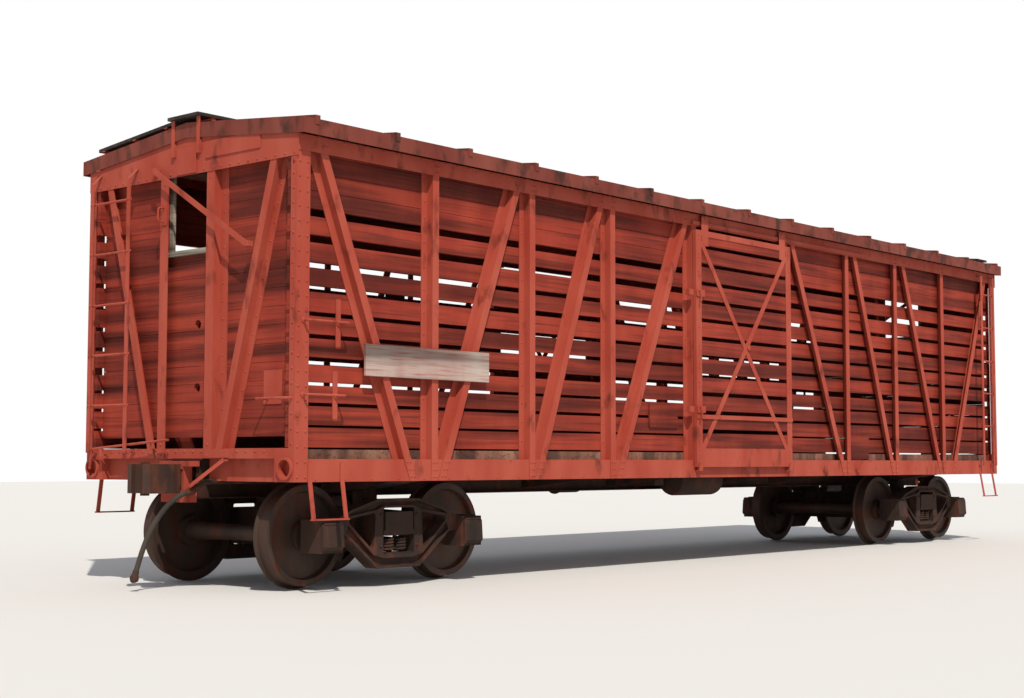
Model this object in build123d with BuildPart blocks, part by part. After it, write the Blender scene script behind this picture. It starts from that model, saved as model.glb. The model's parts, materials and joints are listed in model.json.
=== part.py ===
from build123d import *
from math import atan2, cos, degrees, hypot, radians, sin, tan
import os

os.makedirs("parts", exist_ok=True)

# A riveted steel-framed stock car on two four-wheel trucks. Lengths are in millimetres.
# X runs along the car, Y across it and Z up. The origin is at the middle of the car, at the
# level of the lowest points of the wheel flanges. The near side faces -Y and end A faces -X.

# Wheels and axles
tread_radius = 419.1
flange_height = 25.4
rail_top = flange_height
axle_z = rail_top + tread_radius
wheel_inner_y = 680
wheel_width = 140
rim_depth = 55
hub_radius = 130
hub_width = 175
wheel_seat_radius = 88
wheel_plate = 26
axle_radius = 75
journal_radius = 64
journal_play = 0.1
journal_end_y = 1090

# Trucks
wheel_base = 1676
truck_centre_x = 4867
frame_inner_y = 915
frame_thick = 150
frame_bottom = rail_top + 128
frame_top = rail_top + 710
arch_half = 250
column_inner = 185
column_outer = 275
window_far = 612
window_low_z = rail_top + 275
window_top_z = rail_top + 600
window_tip_z = rail_top + 545
opening_top_z = rail_top + 635
seat_z = rail_top + 245
box_half = 125
box_top = rail_top + 555
box_bottom = rail_top + 285
box_inner_y = 900
box_outer_y = 1135
lid_thick = 22
rib_rim = 20
rib_depth = 38
plank_thick = 16
spring_radius = 55
spring_wire = 13
spring_height = 150
spring_gap_x = 74
spring_row_y = (965, 1025)
bolster_half = 165
bolster_end_y = 1072
bolster_end_top = rail_top + 600
centre_plate_radius = 165
centre_plate_height = 85
centre_play = 0.3
side_bearing_y = 640

# Body, outside to inside
half_width = 1383
half_length = 6330
bar_depth = 76
bar_flange = 72
bar_thick = 8
board_thick = 45
end_plate_thick = 6
sill_bottom = rail_top + 865
sill_top = rail_top + 1045
sill_flange = 100
floor_thick = 76
floor_top = sill_top + floor_thick
chord_bottom = rail_top + 3469
chord_top = rail_top + 3598
chord_leg = 100
bar_top = chord_top - bar_thick
end_sill_top = rail_top + 1131
end_sill_face = 82
corner_leg_side = 140
corner_leg_end = 70
corner_depth = 92
corner_width = 225
end_board_bottom = rail_top + 1225
end_plate_bottom = rail_top + 3422
end_plate_half = 1403
hatch_bottom = rail_top + 2800
hatch_sill_thick = 43

board_y = half_width - bar_depth
board_inner_y = board_y - board_thick
wall_x = half_length - bar_depth
wall_inner_x = wall_x - board_thick

# Roof
eave_y = 1489
roof_half = 6354
roof_skin = 4
eave_top = rail_top + 3712
ridge_top = rail_top + 3865
fascia_height = 126
seam_pitch = 888
seam_count = 15
seam_width = 50
seam_height = 28
seam_lap = 6
board_half = 205
plank_gap = 10
running_thick = 28
running_top = rail_top + 3927
running_half = 6394
roof_slope = (ridge_top - eave_top) / eave_y

# Side truss: x of each post's web, from the end post to the door post
posts = (4795, 3518, 2314, 930)
# Side braces: x at the sill's top, x at the chord's lower edge
braces = ((5120, 6080), (4640, 3740), (3370, 2510), (2150, 1090))
# Spaced side boards: lower edge above the rail, height
boards = (
    (1137, 156), (1314, 148), (1491, 134), (1653, 135), (1852, 147),
    (2035, 142), (2213, 156), (2420, 142), (2606, 157), (2828, 143),
    (3036, 140), (3180, 140), (3324, 140), (3468, 116),
)

# End truss: y of the post webs, then of the braces at the sill and at the plate
end_posts_y = (360, -360)
end_post_flange = 100
end_braces_y = ((521, 1136), (-521, -1136))

# Door
door_half = 930
door_inner_y = half_width + 8
door_board = 32
door_steel = 6
door_bottom = rail_top + 973
door_top = rail_top + 3430
door_plate_top = rail_top + 1165
door_pitch = 192
door_gap = 42
door_stile = 100
door_boards = 12
door_lap = 170
door_bar_z = rail_top + 1490
brace_bar = 60
hanger_x = 760
hanger_width = 120
hanger_bottom = rail_top + 3270
roller_radius = 32
roller_play = 0.3
track_thick = 20
track_height = 40
track_bottom = rail_top + 3480
door_travel = 1620
strap_y = door_inner_y + door_board
track_outer_y = half_width + bar_thick + track_thick

# Underframe and draft gear
centre_half = 160
centre_web = 10
centre_flange = 80
centre_bottom = rail_top + 720
coupler_z = rail_top + 885
shank_half = 70
shank_height = 125
coupler_reach = 6820
striker_out = 6420
pipe_radius = 21
pipe_y = 330
pipe_z = rail_top + 861
hose_radius = 22


def block(x, y, z, mode=Mode.ADD):
    """A box from its low and high x, y and z."""
    spans = (x, y, z)
    with Locations(tuple(sum(span) / 2 for span in spans)):
        Box(*(abs(span[1] - span[0]) for span in spans), mode=mode)


def turned_copy(builder):
    """The same shapes for the other side and end, turned half round the car's middle."""
    add(builder.part.rotate(Axis.Z, 180))


def mirrored_copy(builder, plane):
    """The same shapes on the other side of a plane."""
    add(mirror(builder.part, about=plane, mode=Mode.PRIVATE))


def roof_under(y):
    """Height of the roof sheet's lower face at a distance across the car."""
    return ridge_top - roof_skin - roof_slope * abs(y)


def seam_over(y):
    """Height of a roof seam's top at a distance across the car."""
    return ridge_top + seam_height - (ridge_top - eave_top) / (eave_y + seam_lap) * abs(y)


def z_bar(foot, head, outward, flange_side, flange=bar_flange):
    """A rolled Z bar from foot to head, its inner flange's back on the line between them.
    outward is the wall's normal, and flange_side is +1 or -1 for the outer flange's side."""
    axis = Vector(head) - Vector(foot)
    plane = Plane(origin=foot, x_dir=Vector(outward).cross(axis), z_dir=axis)
    half = bar_thick / 2
    outline = (
        (-flange, 0), (half, 0), (half, bar_depth - bar_thick),
        (flange, bar_depth - bar_thick), (flange, bar_depth),
        (-half, bar_depth), (-half, bar_thick), (-flange, bar_thick),
    )
    with BuildSketch(plane) as profile:
        with BuildLine():
            Polyline([(flange_side * across, out) for across, out in outline], close=True)
        make_face()
    extrude(profile.sketch, amount=axis.length)


def save(builder, name):
    """Labels a finished piece and writes it."""
    builder.part.label = name
    export_step(builder.part, f"parts/{name}.step")


def build_underframe():
    """Centre sill, body bolsters, crossbearers, side and end sills, and the floor."""
    with BuildPart() as centre_sill:
        with BuildSketch(Plane.YZ.offset(-half_length + bar_thick)):
            for side in (-1, 1):
                web = side * (centre_half + centre_web / 2)
                flange = side * (centre_half + centre_flange / 2)
                with Locations((web, (centre_bottom + sill_top) / 2)):
                    Rectangle(centre_web, sill_top - centre_bottom)
                for level in (centre_bottom + centre_web / 2, sill_top - centre_web / 2):
                    with Locations((flange, level)):
                        Rectangle(centre_flange, centre_web)
            with Locations((0, sill_top - centre_web / 2)):
                Rectangle(2 * centre_half, centre_web)
            with Locations((0, centre_bottom + centre_web / 2)):
                Rectangle(2 * centre_half, centre_web)
        extrude(amount=2 * (half_length - bar_thick))
        with Locations((-truck_centre_x, 0, centre_bottom), (truck_centre_x, 0, centre_bottom)):
            Cylinder(
                centre_plate_radius, centre_plate_height,
                align=(Align.CENTER, Align.CENTER, Align.MAX),
            )
    save(centre_sill, "centre_sill")

    bolster_half_x = 150
    inner_y = centre_half + centre_flange
    outer_y = half_width - 2 * bar_thick
    under_sill = sill_bottom + bar_thick + 2
    with BuildPart() as body_bolsters:
        with BuildSketch(Plane.YZ.offset(truck_centre_x - bolster_half_x)):
            with BuildLine():
                Polyline(
                    (inner_y, centre_bottom + 25), (side_bearing_y + 80, centre_bottom + 75),
                    (half_width - sill_flange - 20, under_sill), (outer_y, under_sill),
                    (outer_y, sill_top - bar_thick), (inner_y, sill_top - bar_thick),
                    close=True,
                )
            make_face()
        extrude(amount=2 * bolster_half_x)
        with Locations((truck_centre_x, side_bearing_y, centre_bottom + 75)):
            Box(140, 110, 50)
        with Locations(Location((truck_centre_x, pipe_y, pipe_z), (0, 90, 0))):
            Cylinder(pipe_radius + 12, 3 * bolster_half_x, mode=Mode.SUBTRACT)
        mirrored_copy(body_bolsters, Plane.XZ)
        mirrored_copy(body_bolsters, Plane.YZ)
    save(body_bolsters, "body_bolsters")

    with BuildPart() as crossbearers:
        for place in (posts[2], posts[3]):
            with BuildSketch(Plane.YZ.offset(place - 5)):
                with BuildLine():
                    Polyline(
                        (inner_y, centre_bottom + 40), (half_width - sill_flange - 20, under_sill),
                        (outer_y, under_sill), (outer_y, sill_top - bar_thick),
                        (inner_y, sill_top - bar_thick),
                        close=True,
                    )
                make_face()
            extrude(amount=10)
            block((place - 45, place + 45), (inner_y, outer_y),
                  (sill_top - 2 * bar_thick, sill_top - bar_thick))
        with Locations(Location((posts[2], pipe_y, pipe_z), (0, 90, 0))):
            Cylinder(pipe_radius + 12, 6 * posts[3], mode=Mode.SUBTRACT)
        mirrored_copy(crossbearers, Plane.XZ)
        mirrored_copy(crossbearers, Plane.YZ)
    save(crossbearers, "crossbearers")

    sill_end = half_length - corner_depth
    with BuildPart() as side_sills:
        web_y = half_width - bar_thick
        with BuildSketch(Plane.YZ.offset(-sill_end)):
            with BuildLine():
                Polyline(
                    (-web_y, sill_bottom), (-web_y + sill_flange, sill_bottom),
                    (-web_y + sill_flange, sill_bottom + bar_thick),
                    (-web_y + bar_thick, sill_bottom + bar_thick),
                    (-web_y + bar_thick, sill_top - bar_thick),
                    (-web_y + sill_flange, sill_top - bar_thick),
                    (-web_y + sill_flange, sill_top), (-web_y, sill_top),
                    close=True,
                )
            make_face()
        extrude(amount=2 * sill_end)
        turned_copy(side_sills)
    save(side_sills, "side_sills")

    with BuildPart() as end_sills:
        face_x = -half_length + bar_thick
        low = end_sill_top - end_sill_face
        beam_half = half_width - bar_thick - corner_width
        block((face_x, face_x + bar_thick), (-beam_half, beam_half), (low, end_sill_top))
        block((face_x, face_x + 100), (-beam_half, beam_half), (end_sill_top - bar_thick, end_sill_top))
        block((face_x + 72, face_x + 80), (-beam_half, beam_half), (sill_bottom, end_sill_top))
        block((face_x + 60, face_x + 90), (-centre_half - centre_flange - 4, centre_half + centre_flange + 4),
              (sill_bottom - 10, sill_top + 4), mode=Mode.SUBTRACT)
        for side in (-1, 1):
            y_out = side * (half_width - bar_thick)
            y_in = y_out - side * corner_width
            block((-half_length, -half_length + corner_depth), (min(y_in, y_out), max(y_in, y_out)),
                  (sill_bottom, end_sill_top))
            pocket = (-half_length, side * 1284, rail_top + 970)
            with Locations(Location(pocket, (0, 90, 0))):
                Cylinder(90, 40)
                Cylinder(70, 2 * 50, mode=Mode.SUBTRACT)
        turned_copy(end_sills)
    save(end_sills, "end_sills")

    with BuildPart() as floor:
        block((-wall_inner_x, wall_inner_x), (-board_y, board_y), (sill_top, floor_top))
    save(floor, "floor")


def build_side_frames():
    """Posts, braces, chords and corner posts of the two sides."""
    foot_z, head_z = sill_bottom, bar_top
    lap = dict(x=(-half_length, half_length), z=(0, sill_top))
    with BuildPart() as side_posts:
        for place in posts:
            for end in (-1, 1):
                x = end * place
                z_bar((x, -board_y, foot_z), (x, -board_y, head_z), (0, -1, 0), end)
        block(lap["x"], (-half_width + bar_thick, 0), lap["z"], mode=Mode.SUBTRACT)
        turned_copy(side_posts)
    save(side_posts, "side_posts")

    with BuildPart() as side_braces:
        for low_x, high_x in braces:
            lean = (high_x - low_x) / (chord_bottom - sill_top)
            for end in (-1, 1):
                foot = (end * (low_x - lean * 400), -board_y, sill_top - 400)
                head = (end * (high_x + lean * 200), -board_y, chord_bottom + 200)
                z_bar(foot, head, (0, -1, 0), end)
        block((-half_length, half_length), (-half_width, 0), (foot_z, chord_bottom + 30),
              mode=Mode.INTERSECT)
        block(lap["x"], (-half_width + bar_thick, 0), lap["z"], mode=Mode.SUBTRACT)
        turned_copy(side_braces)
    save(side_braces, "side_braces")

    with BuildPart() as top_chords:
        block((-half_length, half_length), (-half_width - bar_thick, -half_width),
              (chord_bottom, chord_top))
        block((-half_length, half_length), (-half_width, -half_width + chord_leg),
              (chord_top - bar_thick, chord_top))
        turned_copy(top_chords)
    save(top_chords, "top_chords")

    with BuildPart() as corner_posts:
        block((-half_length, -half_length + corner_leg_side), (-half_width, -half_width + bar_thick),
              (sill_bottom, bar_top))
        block((-half_length, -half_length + bar_thick), (-half_width, -half_width + corner_leg_end),
              (end_sill_top, bar_top))
        mirrored_copy(corner_posts, Plane.XZ)
        mirrored_copy(corner_posts, Plane.YZ)
    save(corner_posts, "corner_posts")


def build_end_frames():
    """Posts, braces and the plate across the top of each end."""
    low = end_sill_top - end_sill_face
    with BuildPart() as end_posts:
        for place in end_posts_y:
            side = 1 if place > 0 else -1
            z_bar((-wall_x, place, low), (-wall_x, place, bar_top), (-1, 0, 0), -side,
                  end_post_flange)
        block((-half_length + bar_thick, 0), (-half_width, half_width), (0, end_sill_top),
              mode=Mode.SUBTRACT)
        turned_copy(end_posts)
    save(end_posts, "end_posts")

    with BuildPart() as end_braces:
        for low_y, high_y in end_braces_y:
            side = 1 if low_y > 0 else -1
            lean = (high_y - low_y) / (end_plate_bottom - end_board_bottom)
            foot = (-wall_x, low_y - lean * 400, end_board_bottom - 400)
            head = (-wall_x, high_y + lean * 200, end_plate_bottom + 200)
            z_bar(foot, head, (-1, 0, 0), -side)
        block((-half_length, -wall_x), (-half_width, half_width), (low, end_plate_bottom + 60),
              mode=Mode.INTERSECT)
        block((-half_length + bar_thick, 0), (-half_width, half_width), (0, end_sill_top),
              mode=Mode.SUBTRACT)
        turned_copy(end_braces)
    save(end_braces, "end_braces")

    with BuildPart() as end_plates:
        with BuildSketch(Plane.YZ.offset(-half_length - end_plate_thick)):
            top = roof_under(end_plate_half) - 2
            with BuildLine():
                Polyline(
                    (-end_plate_half, end_plate_bottom), (end_plate_half, end_plate_bottom),
                    (end_plate_half, top), (0, roof_under(0) - 2), (-end_plate_half, top),
                    close=True,
                )
            make_face()
        extrude(amount=end_plate_thick)
        turned_copy(end_plates)
    save(end_plates, "end_plates")


def build_boards():
    """Spaced boards of the sides, tight boards of the ends, and the hatch's bare planks."""
    with BuildPart() as side_boards:
        for low, height in boards:
            z = (rail_top + low, rail_top + low + height)
            block((-half_length + bar_thick + 2, -posts[3]), (-board_y, -board_inner_y), z)
            block((posts[3], half_length - bar_thick - 2), (-board_y, -board_inner_y), z)
        turned_copy(side_boards)
    save(side_boards, "side_boards")

    left_y, right_y = end_posts_y
    pitch = 148
    with BuildPart() as end_boards:
        for step in range(16):
            low = end_board_bottom + step * pitch
            block((-wall_x, -wall_inner_x), (-board_inner_y + 2, board_inner_y - 2),
                  (low, low + pitch - 3))
        block((-wall_x, -wall_inner_x), (right_y, left_y),
              (hatch_bottom - hatch_sill_thick - 1, bar_top + 10), mode=Mode.SUBTRACT)
        for hole_z in (rail_top + 2165, rail_top + 1635):
            with Locations(Location((-wall_x, -70, hole_z), (0, 90, 0))):
                Cylinder(40, 4 * board_thick, mode=Mode.SUBTRACT)
        turned_copy(end_boards)
    save(end_boards, "end_boards")

    with BuildPart() as hatch_planks:
        gap = bar_thick / 2
        block((-wall_x - 40, -wall_inner_x), (right_y + gap, left_y - gap),
              (hatch_bottom - hatch_sill_thick, hatch_bottom))
        block((-wall_inner_x - 30, -wall_inner_x), (left_y - gap - 45, left_y - gap),
              (hatch_bottom, end_plate_bottom + 120))
        turned_copy(hatch_planks)
    save(hatch_planks, "hatch_planks")


def build_roof():
    """Folded roof with its seams, the carlines below it, and the boards walked on."""
    drop = fascia_height
    with BuildPart() as roof:
        with BuildSketch(Plane.YZ.offset(-roof_half)):
            with BuildLine():
                Polyline(
                    (-eave_y, eave_top - drop), (-eave_y, eave_top), (0, ridge_top),
                    (eave_y, eave_top), (eave_y, eave_top - drop), (0, ridge_top - drop),
                    close=True,
                )
            make_face()
        extrude(amount=roof_skin)
        mirrored_copy(roof, Plane.YZ)
        inner = eave_y - roof_skin
        with BuildSketch(Plane.YZ.offset(-roof_half)):
            with BuildLine():
                Polyline(
                    (-eave_y, eave_top - drop), (-eave_y, eave_top), (0, ridge_top),
                    (eave_y, eave_top), (eave_y, eave_top - drop), (inner, eave_top - drop),
                    (inner, roof_under(inner)), (0, roof_under(0)), (-inner, roof_under(inner)),
                    (-inner, eave_top - drop),
                    close=True,
                )
            make_face()
        extrude(amount=2 * roof_half)
    save(roof, "roof")

    with BuildPart() as roof_seams:
        cap = eave_y + seam_lap
        hem = eave_top - 45
        for step in range(seam_count):
            x = (step - seam_count // 2) * seam_pitch
            with BuildSketch(Plane.YZ.offset(x - seam_width / 2)):
                with BuildLine():
                    Polyline(
                        (-cap, hem), (-cap, eave_top + seam_height), (0, ridge_top + seam_height),
                        (cap, eave_top + seam_height), (cap, hem), (eave_y, hem),
                        (eave_y, eave_top), (0, ridge_top), (-eave_y, eave_top), (-eave_y, hem),
                        close=True,
                    )
                make_face()
            extrude(amount=seam_width)
    save(roof_seams, "roof_seams")

    with BuildPart() as carlines:
        seat = half_width - bar_thick
        for place in (0, *posts, 6100):
            for x in sorted({-place, place}):
                with BuildSketch(Plane.YZ.offset(x - 4)):
                    with BuildLine():
                        Polyline(
                            (-seat, chord_top), (-seat, roof_under(seat)), (0, roof_under(0)),
                            (seat, roof_under(seat)), (seat, chord_top),
                            (0, chord_top + roof_slope * seat),
                            close=True,
                        )
                    make_face()
                extrude(amount=8)
    save(carlines, "carlines")

    low = running_top - running_thick
    plank = (2 * board_half - 2 * plank_gap) / 3
    with BuildPart() as running_boards:
        for step in (-1, 0, 1):
            y = step * (plank + plank_gap)
            block((-running_half, running_half), (y - plank / 2, y + plank / 2), (low, running_top))
        inner_y = board_half + 12
        outer_y = 1300
        outer_z = rail_top + 3807
        for x in (-roof_half + 100, -roof_half + 250):
            with BuildSketch(Plane.YZ.offset(x - 68)):
                with BuildLine():
                    Polyline(
                        (inner_y, low - 15), (outer_y, outer_z - running_thick),
                        (outer_y, outer_z), (inner_y, running_top - 15),
                        close=True,
                    )
                make_face()
            extrude(amount=136)
        turned_copy(running_boards)
    save(running_boards, "running_boards")

    with BuildPart() as board_brackets:
        for step in range(seam_count):
            x = (step - seam_count // 2) * seam_pitch
            far = board_half - 10
            plate(Plane.YZ.offset(x - 20),
                  ((-far, low), (-far, seam_over(far)), (0, seam_over(0)), (far, seam_over(far)),
                   (far, low)), 40)
        lateral_slope = (running_top - 15 - outer_z) / (outer_y - inner_y)
        for y in (330, 780, 1230):
            under = [low - 15 - lateral_slope * (edge - inner_y) for edge in (y - 20, y + 20)]
            plate(Plane.YZ.offset(-roof_half + 32),
                  ((y - 20, under[0]), (y + 20, under[1]), (y + 20, under[1] - 8),
                   (y - 20, under[0] - 8)), 286)
            plate(Plane.YZ.offset(-seam_count // 2 * seam_pitch + seam_pitch - 20),
                  ((y - 20, under[0] - 8), (y + 20, under[1] - 8), (y + 20, seam_over(y + 20)),
                   (y - 20, seam_over(y - 20))), 40)
        front = -roof_half - 8
        for y in (170, -170):
            block((front, front + 8), (y - 20, y + 20), (rail_top + 3700, low))
            block((front, -half_length - end_plate_thick), (y - 20, y + 20),
                  (rail_top + 3590, rail_top + 3700))
        block((front, -half_length - end_plate_thick), (1225, 1275),
              (rail_top + 3600, rail_top + 3608))
        turned_copy(board_brackets)
    save(board_brackets, "board_brackets")


def build_door(name, turned):
    """One hung door: boards behind a steel frame with two crossing bars and two hangers."""
    face_y = -(door_inner_y + door_board)
    with BuildPart() as door_boards_part:
        first = rail_top + 1362
        lows = [door_plate_top - door_lap] + [first + step * door_pitch for step in range(11)]
        for low in lows:
            height = first - door_gap - low if low < first else door_pitch - door_gap
            top = min(low + height, door_top)
            block((-door_half + door_steel, door_half - door_steel), (face_y, -door_inner_y),
                  (low, top))
        if turned:
            door_boards_part.part = door_boards_part.part.rotate(Axis.Z, 180)
    save(door_boards_part, f"door_boards_{name}")

    with BuildPart() as door_frame:
        outer = face_y - door_steel
        for side in (-1, 1):
            edge = side * door_half
            inner = edge - side * door_stile
            block((min(edge, inner), max(edge, inner)), (outer, face_y), (door_bottom, door_top))
            lip = edge - side * door_steel
            block((min(edge, lip), max(edge, lip)), (outer, -door_inner_y), (door_bottom, door_top))
        block((-door_half, door_half), (outer, face_y), (door_bottom, door_plate_top))
        block((-door_half, door_half), (outer, face_y), (door_top - 60, door_top))
        half = door_half - 130
        low, high = door_plate_top + 20, hanger_bottom
        slant = atan2(high - low, 2 * half)
        for lean in (1, -1):
            with Locations(Location((0, face_y - door_steel / 2, (low + high) / 2),
                                    (0, -lean * degrees(slant), 0))):
                Box(hypot(high - low, 2 * half) + 90, door_steel, brace_bar)
        block((-door_half, door_half), (outer - 10, outer), (door_bar_z - 22, door_bar_z + 22))
        for x in (-hanger_x, hanger_x):
            top = track_bottom + track_height + roller_play + roller_radius
            block((x - hanger_width / 2, x + hanger_width / 2), (outer, face_y),
                  (hanger_bottom, top + 25))
            roller_inner = -(half_width + bar_thick + 4)
            with Locations(Location((x, (roller_inner + face_y) / 2, top), (90, 0, 0))):
                Cylinder(roller_radius, roller_inner - face_y)
            with Locations(Location((x, outer - 3, top), (90, 0, 0))):
                Cylinder(16, 6)
        if turned:
            door_frame.part = door_frame.part.rotate(Axis.Z, 180)
    save(door_frame, f"door_frame_{name}")


def build_door_gear():
    """Tracks above the doors and guides at their feet."""
    with BuildPart() as door_tracks:
        block((-door_half - 30, door_half + door_travel + 150),
              (-track_outer_y, -half_width - bar_thick),
              (track_bottom, track_bottom + track_height))
        for x in (-880, 880, 1700, 2450):
            seat_y = -half_width + (bar_thick if x > door_half else 0)
            block((x - 30, x + 30), (-half_width - 62, seat_y), (door_bottom - 40, door_bottom - 32))
            block((x - 30, x + 30), (-half_width - 62, -half_width - 54),
                  (door_bottom - 32, door_bottom + 25))
        turned_copy(door_tracks)
    save(door_tracks, "door_tracks")


def rod(points, radius, bend):
    """A round bar along straight runs joined by bends of one radius."""
    with BuildLine() as path:
        FilletPolyline(*points, radius=bend)
    with BuildSketch(Plane(origin=path.line @ 0, z_dir=path.line % 0)) as section:
        Circle(radius)
    sweep(section.sketch, path=path.line)


def plate(plane, points, thick, mode=Mode.ADD):
    """A plate of one outline, drawn on a plane."""
    with BuildSketch(plane) as outline:
        with BuildLine():
            Polyline(*points, close=True)
        make_face()
    extrude(outline.sketch, amount=thick, mode=mode)


def strap(points, width, thick, across):
    """A flat bar bent along points. across is the direction of its width."""
    for start, end in zip(points, points[1:]):
        run = Vector(end) - Vector(start)
        section = Plane(origin=start, x_dir=across, z_dir=run)
        with BuildSketch(section) as profile:
            Rectangle(width, thick)
        extrude(profile.sketch, amount=run.length)


def both_trucks(builder, name):
    """Moves a piece drawn about the origin to end A, and its turned copy to end B."""
    for end, angle in (("a", 0), ("b", 180)):
        moved = builder.part.moved(Location((-truck_centre_x, 0, 0))).rotate(Axis.Z, angle)
        moved.label = f"{name}_{end}"
        export_step(moved, f"parts/{name}_{end}.step")


def build_trucks():
    """Cast side frames, bolster, springs, brake beams and wheels of the two trucks."""
    outer_y = frame_inner_y + frame_thick
    axle_x = wheel_base / 2
    with BuildPart() as side_frames:
        half = (
            (arch_half, frame_top), (560, rail_top + 622), (axle_x - box_half, box_top),
            (axle_x + box_half, box_top), (axle_x + box_half, box_bottom),
            (axle_x - box_half, box_bottom), (axle_x - box_half, rail_top + 430),
            (620, rail_top + 416), (arch_half, frame_bottom),
        )
        with BuildSketch(Plane.XZ.offset(frame_inner_y)):
            with BuildLine():
                Polyline(*half, *[(-x, z) for x, z in reversed(half)], close=True)
            make_face()
            with Locations((0, (seat_z + opening_top_z) / 2)):
                RectangleRounded(2 * column_inner, opening_top_z - seat_z, 20, mode=Mode.SUBTRACT)
            for side in (-1, 1):
                with BuildSketch(mode=Mode.PRIVATE) as window:
                    with BuildLine():
                        Polyline(
                            (side * column_outer, window_top_z), (side * window_far, window_tip_z),
                            (side * (column_outer + 20), window_low_z),
                            close=True,
                        )
                    make_face()
                    fillet(window.vertices(), 26)
                add(window.sketch, mode=Mode.SUBTRACT)
        extrude(amount=frame_thick)
        recess = Plane.XZ.offset(outer_y)
        upper = (
            (arch_half - 10, frame_top - rib_rim), (545, rail_top + 604),
            (600, rail_top + 572), (column_outer - 10, window_top_z + rib_rim),
            (column_inner - 10, opening_top_z + rib_rim),
        )
        lower = (
            (arch_half - 10, frame_bottom + rib_rim), (612, rail_top + 440),
            (590, rail_top + 500), (column_outer + 20, window_low_z - 32),
            (column_inner - 10, seat_z - rib_rim - 12),
        )
        for half in (upper, lower):
            plate(recess, (*half, *[(-x, z) for x, z in reversed(half)]), -rib_depth,
                  mode=Mode.SUBTRACT)
        for side in (-1, 1):
            x = (side * (axle_x - box_half), side * (axle_x + box_half))
            block((min(x), max(x)), (-box_outer_y, -outer_y), (box_bottom, box_top - 10))
            block((min(x), max(x)), (-frame_inner_y, -box_inner_y), (box_bottom, box_top))
            with BuildSketch(Plane.YZ.offset(min(x) + 12)) as lid:
                with BuildLine():
                    Polyline(
                        (-box_outer_y, box_top - 25), (-box_outer_y - lid_thick, box_top - 50),
                        (-box_outer_y - lid_thick - 12, box_bottom + 50),
                        (-box_outer_y, box_bottom + 15),
                        close=True,
                    )
                make_face()
            extrude(lid.sketch, amount=2 * box_half - 24)
            with Locations(Location((side * axle_x, -(box_inner_y + journal_end_y + 8) / 2, axle_z),
                                    (90, 0, 0))):
                Cylinder(journal_radius + journal_play, journal_end_y + 8 - box_inner_y,
                         mode=Mode.SUBTRACT)
        mirrored_copy(side_frames, Plane.XZ)
    both_trucks(side_frames, "side_frames")

    seat_plate = 12
    cap_z = seat_z + seat_plate + spring_height
    bowl_z = centre_bottom - centre_plate_height - centre_play
    bearing_z = centre_bottom + 50 - 2
    with BuildPart() as bolster:
        with BuildSketch(Plane.YZ.offset(-bolster_half)):
            with BuildLine():
                Polyline(
                    (-bolster_end_y, cap_z), (-820, cap_z), (-500, rail_top + 330),
                    (500, rail_top + 330), (820, cap_z), (bolster_end_y, cap_z),
                    (bolster_end_y, bolster_end_top), (760, bolster_end_top + 10),
                    (520, bowl_z - 12), (-520, bowl_z - 12), (-760, bolster_end_top + 10),
                    (-bolster_end_y, bolster_end_top),
                    close=True,
                )
            make_face()
        extrude(amount=2 * bolster_half)
        with Locations((0, 0, bowl_z)):
            Cylinder(centre_plate_radius + 30, 30, align=(Align.CENTER, Align.CENTER, Align.MAX))
        for side in (-1, 1):
            y = side * side_bearing_y
            block((-90, 90), (y - 60, y + 60), (bolster_end_top - 10, bearing_z))
            block((-bolster_half - 18, bolster_half + 18),
                  (min(side * 905, side * bolster_end_y), max(side * 905, side * bolster_end_y)),
                  (cap_z, cap_z + 40))
    both_trucks(bolster, "bolster")

    with BuildPart() as springs:
        for side in (-1, 1):
            for row in spring_row_y:
                y = side * row
                block((-150, 150), (y - 30, y + 30), (seat_z, seat_z + seat_plate))
            for x in (-spring_gap_x, spring_gap_x):
                for row in spring_row_y:
                    turns = 5
                    pitch = (spring_height - 8) / turns
                    with Locations((x, side * row, seat_z + seat_plate)):
                        Cylinder(spring_radius - 2 * spring_wire, spring_height,
                                 align=(Align.CENTER, Align.CENTER, Align.MIN))
                    for step in range(turns):
                        z = seat_z + seat_plate + 4 + (step + 0.5) * pitch
                        with Locations((x, side * row, z)):
                            Cylinder(spring_radius, 1.6 * spring_wire)
    both_trucks(springs, "springs")

    shoe_gap = 6
    with BuildPart() as brake_beams:
        for end in (-1, 1):
            for side in (-1, 1):
                hung = 24
                low_y, high_y = side * 722, side * 806
                with BuildSketch(Plane.XZ.offset(-min(low_y, high_y))) as shoe:
                    with Locations((end * axle_x, axle_z)):
                        Circle(tread_radius + shoe_gap + 48)
                        Circle(tread_radius + shoe_gap, mode=Mode.SUBTRACT)
                    with BuildSketch(mode=Mode.PRIVATE) as wedge:
                        with BuildLine():
                            far = 700
                            Polyline(
                                (end * axle_x, axle_z),
                                (end * (axle_x - far * cos(radians(30))), axle_z - far * sin(radians(30))),
                                (end * (axle_x - far * cos(radians(-8))), axle_z - far * sin(radians(-8))),
                                close=True,
                            )
                        make_face()
                    add(wedge.sketch, mode=Mode.INTERSECT)
                extrude(shoe.sketch, amount=-abs(high_y - low_y))
                x = end * (axle_x - tread_radius - shoe_gap - 60)
                y = side * 764
                block((x - 32, x + 32), (y - 30, y + 30), (axle_z - 150, axle_z - 40))
                block((x - 12, x + 12), (y - 14, y + 14), (axle_z - 60, rail_top + 640))
                pin_y = sorted((y, side * frame_inner_y))
                block((x - 14, x + 14), pin_y, (rail_top + 618, rail_top + 646))
            x = end * (axle_x - tread_radius - shoe_gap - 60)
            block((x - 30, x + 30), (-770, 770), (axle_z - 130, axle_z - 66))
    both_trucks(brake_beams, "brake_beams")

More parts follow.
